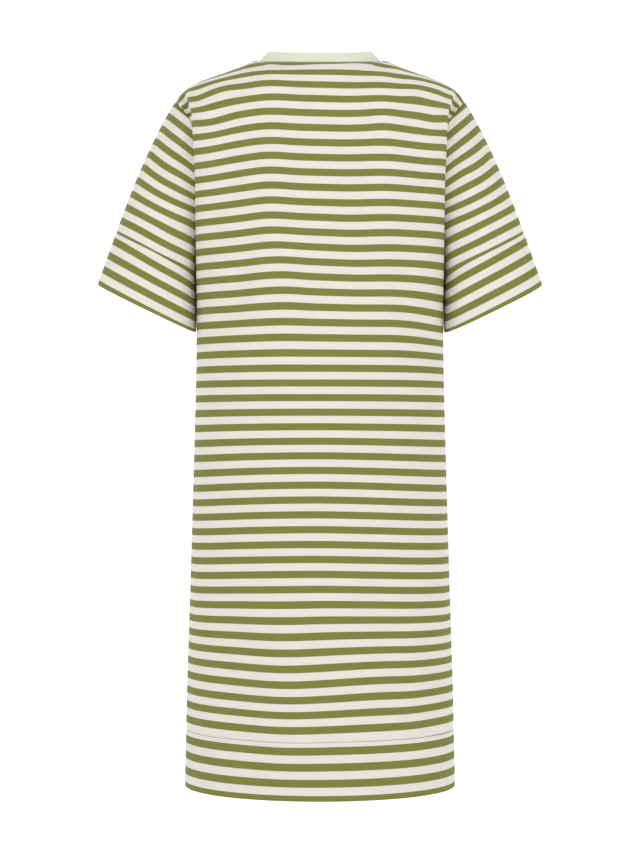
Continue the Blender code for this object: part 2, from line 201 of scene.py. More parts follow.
# Soft creases: a swelling or a trough along a short line, in the plane of x and z. On the
# sleeves x is the distance out from the middle, so both have the same creases.
CREASE_COLUMNS = ("part", "x", "z", "angle", "half_length", "half_width", "height")
CREASES = (
    ("back", -0.120, -0.340, 62, 0.075, 0.014, -0.0022),
    ("back", -0.095, -0.375, 66, 0.060, 0.016, 0.0018),
    ("back", 0.128, -0.350, 118, 0.070, 0.013, -0.0020),
    ("back", 0.100, -0.380, 112, 0.055, 0.016, 0.0016),
    ("back", 0.020, -0.520, 84, 0.140, 0.030, 0.0016),
    ("back", 0.082, -0.660, 95, 0.180, 0.026, -0.0018),
    ("back", -0.110, -0.700, 86, 0.170, 0.024, -0.0018),
    ("back", 0.120, -0.860, 92, 0.090, 0.022, 0.0020),
    ("front", 0.118, -0.345, 60, 0.080, 0.014, -0.0024),
    ("front", 0.092, -0.390, 64, 0.060, 0.016, 0.0020),
    ("front", -0.124, -0.335, 120, 0.070, 0.013, -0.0022),
    ("front", -0.090, -0.370, 114, 0.065, 0.017, 0.0020),
    ("front", -0.035, -0.560, 96, 0.150, 0.028, 0.0018),
    ("front", 0.060, -0.690, 86, 0.170, 0.026, -0.0020),
    ("front", -0.105, -0.780, 93, 0.120, 0.022, 0.0022),
    ("sleeve_back", 0.210, -0.170, 104, 0.060, 0.012, 0.0024),
    ("sleeve_back", 0.232, -0.195, 110, 0.075, 0.014, -0.0022),
    ("sleeve_back", 0.196, -0.270, 72, 0.050, 0.011, -0.0022),
    ("sleeve_back", 0.255, -0.300, 118, 0.050, 0.016, 0.0016),
    ("sleeve_front", 0.206, -0.165, 100, 0.060, 0.012, 0.0028),
    ("sleeve_front", 0.230, -0.205, 112, 0.070, 0.014, -0.0024),
    ("sleeve_front", 0.198, -0.280, 68, 0.055, 0.012, -0.0026),
)

# How far from the edges the creases have their full height
CREASE_FADE = 0.05
SLEEVE_CREASE_FADE = 0.02

# The back and front stand over the sleeve in a fold: its line, the trough beside it, the
# heights between which it rises and falls, and how fast the stripes fall beyond it
FOLD_LINE_COLUMNS = ("z", "x")
SHOULDER_FOLD = (
    (-0.1040, 0.1775),
    (-0.0914, 0.1780),
    (-0.0771, 0.1806),
    (-0.0647, 0.1850),
    (-0.0557, 0.1870),
    (-0.0400, 0.1880),
)
SHOULDER_TROUGH = 0.0050
SHOULDER_TROUGH_AT = 0.0035
SHOULDER_TROUGH_WIDTH = 0.0030
SHOULDER_TROUGH_FADE = 0.0050
SHOULDER_FOLD_SPAN = (-0.098, -0.084, -0.060, -0.046)
SHOULDER_STRIPE_FALL = 1.2

# The height of a green and a cream stripe together, at heights on the body
PITCH_COLUMNS = ("z", "pitch")
PITCHES = (
    (-0.941, 0.0240),
    (-0.930, 0.0240),
    (-0.924, 0.0203),
    (-0.900, 0.0203),
    (-0.855, 0.0215),
    (-0.785, 0.0214),
    (-0.735, 0.0201),
    (-0.620, 0.0200),
    (-0.520, 0.0195),
    (-0.455, 0.0198),
    (-0.410, 0.0207),
    (-0.350, 0.0207),
    (-0.300, 0.0202),
    (-0.120, 0.0205),
    (-0.080, 0.0203),
)

# Where the middle of one green stripe is: a height on the panels and on the hem band, and a
# distance from the cuff on the sleeves, which changes by "turn" from the outer to the inner side
FIRST_GREEN = -0.924
YOKE_PITCH = 0.0203
HEM_GREEN = -0.9526
HEM_PITCH = 0.0219
CUFF_GREEN = 0.0020
CUFF_GREEN_TURN = 0.0030
CUFF_PITCH = 0.0212
SLEEVE_GREEN = 0.0758
SLEEVE_GREEN_TURN = 0.0061
SLEEVE_PITCH = 0.0202
GREEN_SHARE = 0.49

# The stripes hang lower towards each side of the skirt: by how much, and how steeply
SIDE_DROP = {-1: (0.0078, 2.0), 1: (0.0076, 1.5)}
SIDE_DROP_SPAN = (-0.87, -0.73, -0.62, -0.45)
SIDE_X = 0.175

# The stripes sway here and there
SWAY_COLUMNS = ("x", "z", "half_width", "half_height", "drop")
SWAYS = (
    (-0.165, -0.120, 0.042, 0.090, 0.0068),
    (-0.165, -0.280, 0.060, 0.110, 0.0022),
    (-0.070, -0.210, 0.030, 0.150, -0.0022),
    (-0.042, -0.320, 0.026, 0.070, -0.0016),
    (0.050, -0.290, 0.040, 0.090, 0.0016),
    (0.180, -0.365, 0.045, 0.055, 0.0064),
    (0.150, -0.135, 0.035, 0.060, 0.0024),
    (-0.085, -0.035, 0.040, 0.028, -0.0030),
    (0.135, -0.035, 0.040, 0.028, -0.0030),
    (-0.065, -0.010, 0.030, 0.010, -0.0130),
    (0.060, -0.010, 0.030, 0.010, -0.0130),
    (0.000, -0.012, 0.030, 0.008, -0.0040),
    (-0.072, -0.0095, 0.025, 0.009, -0.0140),
    (0.077, -0.0095, 0.016, 0.009, -0.0120),
    (-0.172, -0.060, 0.016, 0.022, 0.0050),
    (-0.150, -0.096, 0.030, 0.020, 0.0032),
    (-0.130, -0.0525, 0.020, 0.014, -0.0032),
    (0.178, -0.052, 0.012, 0.016, 0.0040),
    (0.156, -0.096, 0.016, 0.016, 0.0026),
    (0.132, -0.058, 0.020, 0.014, -0.0036),
    (0.110, -0.037, 0.018, 0.008, 0.0022),
    (0.088, -0.097, 0.020, 0.030, -0.0015),
    (-0.060, -0.840, 0.060, 0.070, 0.0016),
    (0.080, -0.865, 0.060, 0.060, -0.0028),
    (0.170, -0.900, 0.040, 0.060, -0.0022),
)

# On the sleeves the stripes fall faster towards the body, most near the shoulder
SLEEVE_TIP = (0.205, -0.0585)
SLEEVE_OUT_SLOPE = 0.421
SLEEVE_FALL = 0.26
SLEEVE_FALL_SPAN = (-0.240, -0.140)
SLEEVE_SWAYS = (
    (-0.202, -0.258, 0.045, 0.058, 0.0056),
    (0.202, -0.245, 0.045, 0.055, 0.0034),
    (-0.188, -0.160, 0.020, 0.030, -0.0032),
    (0.190, -0.163, 0.025, 0.030, -0.0050),
)

# Colours of the yarn
CREAM = (0.634, 0.611, 0.551, 1.0)
GREEN = (0.160, 0.178, 0.0385, 1.0)
NECK_CREAM = (0.626, 0.639, 0.517, 1.0)

# The edges of the stripes, in shares of the pitch
STRIPE_RAGGED = 0.035
STRIPE_BLUR = 0.010

# The knit: the width of a column of loops, the height of a row and the length of a stitch,
# and how many rows a loop's legs climb over a column's width
WALE = 0.00085
COURSE = 0.00070
STITCH = 0.0030
LOOP_CLIMB = 1.1

# A place's mean distance from the middle of its column, in columns
MEAN_LEG = 0.25

# The height of the loops, the valleys between their columns and the yarn's fuzz
LOOP_HEIGHT = 0.35
VALLEY_HEIGHT = -0.5
FUZZ_HEIGHT = 0.5

# How light the yarn is, and how much that changes over loops, valleys, fuzz and spots; over loops
# and valleys it is painted light on the knit's relief
SHADE = 0.955
# Painted highlight: the loops' raised crowns are made lighter
LOOP_PAINTED_HIGHLIGHT = 0.012
# Painted shade: the valleys between the columns of loops, where the knit lies lower, are made
# darker
VALLEY_PAINTED_SHADE = -0.02
FUZZ_SHADE = 0.10
SPOT_SHADE = 0.05

# Scale and detail of noise, and strength and distance of bumps
FUZZ_NOISE = (2600.0, 2.0)
SPOT_NOISE = (38.0, 3.0)
KNIT_BUMP = (0.35, 0.0003)
PUCKER_BUMP = (0.4, 0.0005)
PUCKER_REACH_MM = 3.5

# How rough, downy and shiny the yarn is
ROUGHNESS = 0.80
FUZZ_ROUGHNESS = 0.16
SHEEN = 0.04
SHEEN_ROUGHNESS = 0.5
SHINE = 0.15

# The sockets of a node that mixes colours: factor, first and second colour, and result
MIX_INPUTS = (0, 6, 7)
MIX_RESULT = 2

# The studio: a round pale floor that sweeps up all round, and large soft lights
FLOOR_Z = -1.25
FLOOR_FLAT = 4.5
FLOOR_TURN = 1.5
FLOOR_HEIGHT = 3.2
FLOOR_RINGS = 4
TURN_RINGS = 16
FLOOR_SIDES = 72
FLOOR_COLOUR = (0.90, 0.90, 0.90, 1.0)
FLOOR_ROUGHNESS = 0.9
FLOOR_GLOW = 0.22
WHITE = (1.0, 1.0, 1.0, 1.0)
WORLD_LIGHT = 0.585
LIT_PLACE = (0.0, 0.0, -0.25)
LIGHT_SIZE = 1.6

# Name, place and power of the lights on the right. The same stand on the left.
LIGHTS = (
    ("key", (2.2, -2.4, 1.8), 52.0),
    ("front", (2.0, 2.8, 1.5), 38.0),
)

# The camera looks level at the back
CAMERA_PLACE = (0.0, -2.84, -0.516)
CAMERA_LENS = 85.0
CAMERA_SENSOR = 36.0


def unit(vectors):
    """Return the vectors at length one."""
    return vectors / np.linalg.norm(vectors, axis=-1, keepdims=True)


def level_slopes(knots, values):
    """Return slopes that never carry a curve past its neighbouring values."""
    rises = np.diff(values) / np.diff(knots)
    slopes = np.concatenate((rises[:1], rises[1:], rises[-1:]))
    before, after = rises[:-1], rises[1:]
    alike = before * after > 0
    total = np.where(alike, before + after, 1.0)
    slopes[1:-1] = np.where(alike, 2 * before * after / total, 0.0)
    return slopes


def smooth_value(knots, values, at):
    """Read a smooth curve through the values at rising knots."""
    knots = np.asarray(knots, float)
    values = np.asarray(values, float)
    if values.ndim > 1:
        slopes = np.gradient(values, knots, axis=0)
    else:
        slopes = level_slopes(knots, values)
    i = np.clip(np.searchsorted(knots, at) - 1, 0, len(knots) - 2)
    step = knots[i + 1] - knots[i]
    t = (at - knots[i]) / step
    if values.ndim > 1:
        t = t[..., None]
        step = step[..., None]
    start = (2 * t**3 - 3 * t**2 + 1) * values[i] + (t**3 - 2 * t**2 + t) * step * slopes[i]
    end = (3 * t**2 - 2 * t**3) * values[i + 1] + (t**3 - t**2) * step * slopes[i + 1]
    return start + end


def lengths_along(line):
    """Return the distance of each point from the line's start."""
    steps = np.linalg.norm(np.diff(line, axis=0), axis=1)
    return np.concatenate(((0.0,), np.cumsum(steps)))


def at_shares(line, shares):
    """Return the points at these shares of a line's length."""
    along = lengths_along(line)
    wanted = np.asarray(shares) * along[-1]
    return np.stack([np.interp(wanted, along, line[:, axis]) for axis in range(3)], axis=1)


def smooth_line(points):
    """Return a fine smooth line through a few points."""
    points = np.asarray(points, float)
    knots = lengths_along(points)
    return smooth_value(knots, points, np.linspace(0.0, knots[-1], FINE))


def smooth_step(value):
    """Rise from 0 to 1 with flat ends."""
    t = np.clip(value, 0.0, 1.0)
    return t * t * (3 - 2 * t)


def span(z, edges):
    """Rise from 0 to 1 between the first two heights, and fall again between the last two."""
    low, full_low, full_high, high = edges
    return smooth_step((z - low) / (full_low - low)) * smooth_step((high - z) / (high - full_high))


def places(start, end, count, close_start, close_end):
    """Return places from start to end, with extra ones close to the ends that are sewn."""
    found = list(np.linspace(start, end, count + 1))
    for close, edge, into in ((close_start, start, 1), (close_end, end, -1)):
        if close:
            found += [edge + into * step for step in CLOSE_TO_SEAM]
    return np.array(sorted(found))


def column_of(rows, columns, name):
    """Return one named column of a table."""
    return np.array(rows)[:, columns.index(name)]


def section(column, z):
    """Read one column of the table of level sections at a height."""
    heights = column_of(SECTIONS, SECTION_COLUMNS, "z")
    return smooth_value(heights, column_of(SECTIONS, SECTION_COLUMNS, column), z)


def fold_height(side, x, z):
    """Add up the soft folds of one side at a place."""
    total = np.zeros_like(x)
    for fold in FOLDS:
        row = dict(zip(FOLD_COLUMNS, fold))
        if row["side"] == side:
            across = np.exp(-((x - row["x"]) / row["half_width"]) ** 2)
            below_top = smooth_step((row["top"] + row["fade"] - z) / row["fade"])
            above_bottom = smooth_step((z - row["bottom"] + row["fade"]) / row["fade"])
            total += row["height"] * across * below_top * above_bottom
    return total


def half_row(side, z, edge, hand):
    """Return a level line from the middle of one side to the edge of the piece.

    edge is the end of the line as (x, depth), with depth measured out from the side seam.
    """
    name = "back" if side == BACK else "front"
    widest = section("widest", z)
    depth = section(name, z)
    turn = section(name + "_turn", z)
    round_body = np.linspace(0.0, np.pi / 2, FINE)
    round_fold = np.linspace(0.0, TURN_END, FINE_TURN)[1:]
    x_body = widest * np.sin(round_body)
    d_body = turn + (depth - turn) * np.cos(round_body)
    x_fold = widest - (widest - edge[0]) * (1 - np.cos(round_fold)) / (1 - np.cos(TURN_END))
    d_fold = turn + (edge[1] - turn) * np.sin(round_fold) / np.sin(TURN_END)
    x = hand * np.concatenate((x_body, x_fold))
    d = np.concatenate((d_body, d_fold))
    d += fold_height(side, x, z) * smooth_step(d / FOLD_FADE)
    return np.stack((x, side * d, np.full_like(x, z)), axis=1)


def column_shares():
    """Return the columns' places from the middle to the edge, closer together at the edge."""
    return 1 - (1 - np.arange(HALF_COLUMNS + 1) / HALF_COLUMNS) ** COLUMN_SPREAD


def inset_shares(line):
    """Return the columns' shares of a line that stops half a seam gap short."""
    whole = lengths_along(line)[-1]
    return column_shares() * (1 - SEAM_GAP / 2 / whole)


def top_shares():
    """Return the yoke rows' places from the top edge down, closer together at the top."""
    return np.linspace(0.0, 1.0, TOP_ROWS + 1) ** COLUMN_SPREAD


def armhole(side):
    """Return the armhole's points from the tip down, with rows for the yoke first."""
    line = smooth_line(ARMHOLE_BACK if side == BACK else ARMHOLE_FRONT)
    yoke = BACK_YOKE if side == BACK else FRONT_YOKE
    split = int(np.argmin(np.abs(line[:, 2] - yoke)))
    top = at_shares(line[:split + 1], top_shares())
    lower = at_shares(line[split:], np.linspace(0.0, 1.0, ARMHOLE_ROWS + 1))
    return np.concatenate((top, lower[1:]))


def neck_point(side, share):
    """Return a point of the neck seam, at a share of the way from its middle to the shoulder."""
    angle = share * np.pi / 2
    depth = NECK_BACK if side == BACK else NECK_FRONT
    drop = NECK_BACK_DROP if side == BACK else NECK_FRONT_DROP
    x = NECK_HALF_WIDTH * np.sin(angle) ** NECK_SQUARENESS
    y = SHOULDER[0][1] + side * depth * np.cos(angle)
    z = SHOULDER[0][2] - drop * np.maximum(np.cos(angle), 0.0) ** NECK_ROUNDNESS
    return np.stack((x, y, z), axis=-1)


def top_line(side):
    """Return the top edge of one side at each column: the neck, then the shoulder."""
    neck = neck_point(side, np.linspace(0.0, 1.0, NECK_COLUMNS + 1))
    shares = column_shares()[NECK_COLUMNS:]
    shares = (shares - shares[0]) / (1 - shares[0])
    return np.concatenate((neck, at_shares(smooth_line(SHOULDER), shares)[1:]))


def top_directions(side):
    """Return the way the cloth runs where it meets the top edge, at each column."""
    knots = (0, NECK_COLUMNS, HALF_COLUMNS)
    angle = np.radians(np.interp(np.arange(HALF_COLUMNS + 1), knots, LEAN[side]))
    zero = np.zeros_like(angle)
    return np.stack((zero, -side * np.sin(angle), np.cos(angle)), axis=1)


def bezier(start, start_pull, end_pull, end, shares):
    """Return the points at these shares of a curve with two handles."""
    t = np.linspace(0.0, 1.0, FINE)[:, None]
    line = ((1 - t) ** 3 * start + 3 * (1 - t) ** 2 * t * start_pull
            + 3 * (1 - t) * t**2 * end_pull + t**3 * end)
    return at_shares(line, shares)


def yoke_rows(side, hand, yoke, below):
    """Return the rows that carry the cloth from the yoke line over to the top edge."""
    top = top_line(side) * (hand, 1, 1)
    directions = top_directions(side)
    top = top - directions * SEAM_GAP / 2
    hole = armhole(side)[:TOP_ROWS + 1][::-1] * (hand, 1, 1)
    shares = 1 - top_shares()[::-1]
    rows = np.empty((TOP_ROWS + 1, HALF_COLUMNS + 1, 3))
    for column in range(HALF_COLUMNS + 1):
        up = unit(yoke[column] - below[column])
        rise = top[column, 2] - yoke[column, 2]
        reach = abs(top[column, 1] - yoke[column, 1])
        start_pull = yoke[column] + up * rise * FULL_UP[side]
        end_pull = top[column] - directions[column] * reach * FULL_OVER[side]
        rows[:, column] = bezier(yoke[column], start_pull, end_pull, top[column], shares)
    edge_in = unit(rows[:, -2] - hole) * SEAM_GAP / 2
    rows[1:, -1] = (hole + edge_in)[1:]
    return rows[1:]


def body_heights():
    """Return the heights of the hem band's rows and of the rows up to the underarm."""
    band = places(HEM, HEM_SEAM - SEAM_GAP / 2, BAND_ROWS, True, True)
    skirt = places(HEM_SEAM + SEAM_GAP / 2, WAIST, SKIRT_ROWS, True, False)
    waist = np.linspace(WAIST, UNDERARM, WAIST_ROWS + 1)[1:-1]
    return band, np.concatenate((skirt, waist))


def body_half(side, hand):
    """Return the net of one half of one side, from hem to top and from middle to edge."""
    rows = []
    for z in np.concatenate(body_heights()):
        line = half_row(side, z, (section("side", z), 0.0), hand)
        rows.append(at_shares(line, inset_shares(line)))
    for point in armhole(side)[TOP_ROWS:][::-1]:
        line = half_row(side, point[2], (point[0], side * point[1]), hand)
        rows.append(at_shares(line, inset_shares(line)))
    rows = np.array(rows)
    return np.concatenate((rows, yoke_rows(side, hand, rows[-1], rows[-2])))


def body_side(side):
    """Return the net of the whole back or front, from left to right."""
    left = body_half(side, -1)[:, ::-1]
    right = body_half(side, 1)
    return np.concatenate((left[:, :-1], right), axis=1)


def net_normals(net, around, inside):
    """Return the way out of the cloth at each point of a net."""
    if around:
        wide = np.concatenate((net[:, -1:], net, net[:, :1]), axis=1)
        across = np.gradient(wide, axis=1)[:, 1:-1]
    else:
        across = np.gradient(net, axis=1)
    along = np.gradient(net, axis=0)
    normals = unit(np.cross(across, along))
    if np.sum(normals * (net - inside)) < 0:
        normals = -normals
    return normals


def share_normals(first, second):
    """Make the walls of two pieces meet squarely where their surfaces run on into each other."""
    alike = np.maximum(0.0, np.sum(first * second, axis=-1, keepdims=True))
    return unit(first + alike * second), unit(second + alike * first)


def sleeve_ring():
    """Return the right armhole as one loop: tip, back, underarm, front."""
    back = armhole(BACK)
    front = armhole(FRONT)
    return np.concatenate((back, front[::-1][1:-1]))


def cuff_half(backward, side):
    """Return half of a sleeve's opening on the right, from its outer to its inner end."""
    middle = (CUFF_OUTER + CUFF_INNER) / 2
    angles = np.linspace(0.0, np.pi, FINE)[:, None]
    across = np.sign(np.cos(angles)) * np.abs(np.cos(angles)) ** CUFF_SQUARENESS
    out = np.abs(np.sin(angles)) ** CUFF_SQUARENESS
    line = middle + (CUFF_OUTER - middle) * across - side * backward * out
    along = lengths_along(armhole(side))
    return at_shares(line, along / along[-1])


def cuff_ring(tilt):
    """Return a sleeve's opening on the right as one loop with the same points as the armhole."""
    backward = np.array((0.0, -1.0, -tilt)) * CUFF_HALF_DEPTH
    back = cuff_half(backward, BACK)
    front = cuff_half(backward, FRONT)
    return np.concatenate((back, front[::-1][1:-1]))


def sleeve_net(ring_normals, tilt):
    """Return a sleeve's net on the right, its points' distances from the cuff and how far in
    each column lies, from 0 at the outer side to 1 at the inner side.
    """
    ring = sleeve_ring()
    cuff = cuff_ring(tilt)
    inner = (CUFF_OUTER[0] - cuff[:, 0]) / (CUFF_OUTER[0] - CUFF_INNER[0])
    run = cuff - ring
    length = np.linalg.norm(run, axis=1, keepdims=True)
    outer = (1 + np.cos(np.linspace(0.0, 2 * np.pi, len(ring), endpoint=False)))[:, None] / 2
    outward = CAP_ROUND * outer + UNDERARM_ROUND * (1 - outer)
    leave = unit(run + outward * (1.0, 0.0, 0.0))
    arrive = unit(run - outer * (CUFF_ROUND, 0.0, 0.0))
    start = ring + unit(leave + ring_normals) * SLEEVE_START
    band_places = places(0.0, SLEEVE_BAND - SEAM_GAP / 2, BAND_ROWS, True, True)
    columns = []
    from_cuff = []
    for i in range(len(ring)):
        leave_pull = start[i] + leave[i] * length[i] * SLEEVE_PULL
        arrive_pull = cuff[i] - arrive[i] * length[i] * SLEEVE_PULL
        line = bezier(start[i], leave_pull, arrive_pull, cuff[i], np.linspace(0.0, 1.0, FINE))
        whole = lengths_along(line)[-1]
        upper = places(SLEEVE_BAND + SEAM_GAP / 2, whole, SLEEVE_ROWS, True, True)
        place = np.concatenate((band_places, upper))
        columns.append(at_shares(line[::-1], place / whole))
        from_cuff.append(place)
    return np.stack(columns, axis=1), np.stack(from_cuff, axis=1), inner


def neckband_net():
    """Return the neckband's net, its rows' heights above the neck seam, and that seam's length."""
    shares = np.linspace(0.0, 1.0, FINE)
    right = neck_point(BACK, shares)
    behind = np.concatenate((right[::-1] * (-1, 1, 1), right[1:]))
    right = neck_point(FRONT, shares)
    before = np.concatenate((right[::-1], right[1:] * (-1, 1, 1)))
    loop = np.concatenate((behind, before[1:]))
    count = RIBS * POINTS_A_RIB
    seam = at_shares(loop, np.arange(count) / count)
    ahead = np.clip(seam[:, 1] / NECK_FRONT, 0.0, 1.0)
    top = seam * (BAND_IN_WIDTH, BAND_IN_DEPTH, 1.0)
    top[:, 1] += SHOULDER[0][1] * (1 - BAND_IN_DEPTH)
    top[:, 2] += BAND_RISE_BACK + (BAND_RISE_FRONT - BAND_RISE_BACK) * ahead
    seam = seam + unit(top - seam) * BAND_START
    height = np.linalg.norm(top - seam, axis=1).mean()
    rows = places(0.0, height, NECKBAND_ROWS, True, True) / height
    return seam + (top - seam) * rows[:, None, None], rows * height, lengths_along(loop)[-1]


def join_body(back_out, front_out, skirt):
    """Share the walls' directions along the side seams and the shoulder seams."""
    for edge in (0, -1):
        shared = share_normals(back_out[:skirt, edge], front_out[:skirt, edge])
        back_out[:skirt, edge], front_out[:skirt, edge] = shared
    shared = share_normals(back_out[-1], front_out[-1])
    for columns in (slice(0, HALF_COLUMNS - NECK_COLUMNS + 1),
                    slice(HALF_COLUMNS + NECK_COLUMNS, None)):
        back_out[-1, columns] = shared[0][columns]
        front_out[-1, columns] = shared[1][columns]


def armhole_normals(back_out, front_out, name):
    """Return the body's way out round an armhole, in the sleeve's order, as on the right."""
    edge, turn = EDGES[name]
    behind = back_out[-RING_ROWS:, edge][::-1]
    before = front_out[-RING_ROWS:, edge]
    return np.concatenate((behind, before[1:-1])) * turn


def join_sleeve(sleeve_out, back_out, front_out, name):
    """Share the walls' directions round an armhole."""
    edge, turn = EDGES[name]
    ring = armhole_normals(back_out, front_out, name)
    sleeve_out[-1], ring = share_normals(sleeve_out[-1], ring)
    back_out[-RING_ROWS:, edge] = ring[:RING_ROWS][::-1] * turn
    front_out[-RING_ROWS:, edge] = np.concatenate((ring[RING_ROWS - 1:], ring[:1])) * turn


def closed(values):
    """Repeat the first column at the end."""
    return np.concatenate((values, values[:, :1]), axis=1)


def distances(net, axis):
    """Return each point's distance from the start of its column or row, along the cloth."""
    steps = np.linalg.norm(np.diff(net, axis=axis), axis=2)
    start = np.zeros_like(steps.take([0], axis=axis))
    return np.concatenate((start, np.cumsum(steps, axis=axis)), axis=axis)


def from_edges(net, around):
    """Return each point's distance from the nearest edge of its piece, along the cloth."""
    rows = distances(net, 0)
    nearest = np.minimum(rows, rows[-1] - rows)
    if not around:
        columns = distances(net, 1)
        nearest = np.minimum(nearest, np.minimum(columns, columns[:, -1:] - columns))
    return nearest


def across_and_up(net, around):
    """Return each point's distance across its row and up its column."""
    if around:
        return distances(closed(net), 1), closed(distances(net, 0))
    u = distances(net, 1)
    return u - u[:, net.shape[1] // 2][:, None], distances(net, 0)


def crease_height(part, x, z):
    """Add up the creases of one part at its places."""
    total = np.zeros_like(x)
    for crease in CREASES:
        row = dict(zip(CREASE_COLUMNS, crease))
        if row["part"] == part:
            angle = np.radians(row["angle"])
            dx = x - row["x"]
            dz = z - row["z"]
            along = (dx * np.cos(angle) + dz * np.sin(angle)) / row["half_length"]
            across = (-dx * np.sin(angle) + dz * np.cos(angle)) / row["half_width"]
            total += row["height"] * np.exp(-along**2 - across**2)
    return total


def beyond_fold(x, z):
    """Return how far a place lies outside the fold beside the sleeve."""
    heights = column_of(SHOULDER_FOLD, FOLD_LINE_COLUMNS, "z")
    return np.abs(x) - np.interp(z, heights, column_of(SHOULDER_FOLD, FOLD_LINE_COLUMNS, "x"))


def crease(net, normals, part):
    """Press the creases into a panel, fading towards its edges."""
    x, z = net[..., 0], net[..., 2]
    edge = from_edges(net, False)
    height = crease_height(part, x, z) * smooth_step(edge / CREASE_FADE)
    off = (beyond_fold(x, z) - SHOULDER_TROUGH_AT) / SHOULDER_TROUGH_WIDTH
    trough = SHOULDER_TROUGH * np.exp(-off**2) * span(z, SHOULDER_FOLD_SPAN)
    height -= trough * smooth_step(edge / SHOULDER_TROUGH_FADE)
    return net + normals * height[..., None]


def crease_sleeve(net, normals):
    """Press the creases into a sleeve, fading towards its ends."""
    x, y, z = np.abs(net[..., 0]), net[..., 1], net[..., 2]
    fade = smooth_step(from_edges(net, True) / SLEEVE_CREASE_FADE)
    behind = smooth_step(-y / SLEEVE_CREASE_FADE)
    before = smooth_step(y / SLEEVE_CREASE_FADE)
    height = crease_height("sleeve_back", x, z) * behind
    height += crease_height("sleeve_front", x, z) * before
    return net + normals * (height * fade)[..., None]


def stripe_count(z):
    """Count the stripes below a height, so that each green one's middle is at a half."""
    heights = np.linspace(HEM_SEAM, 0.0, FINE_PITCH)
    pitch = np.interp(heights, column_of(PITCHES, PITCH_COLUMNS, "z"),
                      column_of(PITCHES, PITCH_COLUMNS, "pitch"))
    steps = np.diff(heights) / ((pitch[1:] + pitch[:-1]) / 2)
    count = np.concatenate(((0.0,), np.cumsum(steps)))
    count += 0.5 - np.interp(FIRST_GREEN, heights, count)
    return np.interp(z, heights, count)


def sway_drop(sways, x, z):
    """Add up the sways of a table at a place."""
    total = np.zeros_like(x)
    for sway in sways:
        row = dict(zip(SWAY_COLUMNS, sway))
        total += row["drop"] * np.exp(-((x - row["x"]) / row["half_width"]) ** 2
                                      - ((z - row["z"]) / row["half_height"]) ** 2)
    return total


def body_sway(x, z):
    """Return how far the stripes of the body hang below their level at a place."""
    total = sway_drop(SWAYS, x, z)
    for hand, (drop, power) in SIDE_DROP.items():
        out = np.clip(hand * x / SIDE_X, 0.0, 1.0) ** power
        total += drop * out * span(z, SIDE_DROP_SPAN)
    beyond = np.maximum(0.0, beyond_fold(x, z))
    return total + SHOULDER_STRIPE_FALL * beyond * span(z, SHOULDER_FOLD_SPAN)


def sleeve_sway(x, z):
    """Return how far the stripes of a sleeve lie below their distance from the cuff."""
    low, high = SLEEVE_FALL_SPAN
    edge = SLEEVE_TIP[0] + (SLEEVE_TIP[1] - z) * SLEEVE_OUT_SLOPE
    inward = np.clip(edge - np.abs(x), 0.0, None)
    fall = SLEEVE_FALL * smooth_step((z - low) / (high - low)) * inward
    return fall + sway_drop(SLEEVE_SWAYS, x, z)


def body_stripes(net, rows_below_yoke):
    """Count the stripes over a panel: level up to the yoke, and along the cloth above it."""
    sway = body_sway(net[..., 0], net[..., 2])
    count = stripe_count(net[..., 2])
    start = rows_below_yoke - 1
    up = np.linalg.norm(np.diff(net[start:], axis=0), axis=2)
    count[start + 1:] = count[start] + np.cumsum(up, axis=0) / YOKE_PITCH
    return count + sway / YOKE_PITCH


def feed(tree, value, socket):
    """Set a socket to a constant, or link another node's output to it."""
    if isinstance(value, bpy.types.NodeSocket):
        tree.links.new(value, socket)
    else:
        socket.default_value = value


def arithmetic(tree):
    """Return a function that adds one step of arithmetic to a material."""
    def math(operation, *values):
        node = tree.nodes.new("ShaderNodeMath")
        node.operation = operation
        for value, socket in zip(values, node.inputs):
            feed(tree, value, socket)
        return node.outputs[0]

    return math


def read_layer(tree, layer):
    """Return the two values of a UV layer."""
    node = tree.nodes.new("ShaderNodeUVMap")
    node.uv_map = layer
    split = tree.nodes.new("ShaderNodeSeparateXYZ")
    tree.links.new(node.outputs[0], split.inputs[0])
    return split.outputs[0], split.outputs[1]


def add_noise(tree, scale, detail):
    """Return noise in the cloth's own space."""
    node = tree.nodes.new("ShaderNodeTexNoise")
    node.inputs["Scale"].default_value = scale
    node.inputs["Detail"].default_value = detail
    where = tree.nodes.new("ShaderNodeTexCoord")
    tree.links.new(where.outputs["Object"], node.inputs["Vector"])
    return node.outputs["Fac"]


def mix_colours(tree, factor, first, second, blend):
    """Mix two colours."""
    node = tree.nodes.new("ShaderNodeMix")
    node.data_type = "RGBA"
    node.blend_type = blend
    for place, value in zip(MIX_INPUTS, (factor, first, second)):
        feed(tree, value, node.inputs[place])
    return node.outputs[MIX_RESULT]


def map_range(tree, value, source, target, kind):
    """Map a value from one range to another."""
    node = tree.nodes.new("ShaderNodeMapRange")
    node.interpolation_type = kind
    tree.links.new(value, node.inputs["Value"])
    for name, end in zip(("From Min", "From Max", "To Min", "To Max"), source + target):
        node.inputs[name].default_value = end
    return node.outputs[0]


def add_bump(tree, height, strength, distance):
    """Return a bump node for a height."""
    node = tree.nodes.new("ShaderNodeBump")
    node.inputs["Strength"].default_value = strength
    node.inputs["Distance"].default_value = distance
    tree.links.new(height, node.inputs["Height"])
    return node


def knit_loops(tree):
    """Return how far a place is from its column's middle, the loops' waves and the valleys."""
    math = arithmetic(tree)
    u, v = read_layer(tree, "cloth")
    wale = math("FRACT", math("DIVIDE", u, WALE))
    leg = math("ABSOLUTE", math("SUBTRACT", wale, 0.5))
    course = math("ADD", math("DIVIDE", v, COURSE), math("MULTIPLY", leg, LOOP_CLIMB))
    loop = math("SINE", math("MULTIPLY", course, 2 * np.pi))
    valley = math("COSINE", math("MULTIPLY", wale, 2 * np.pi))
    return leg, loop, valley


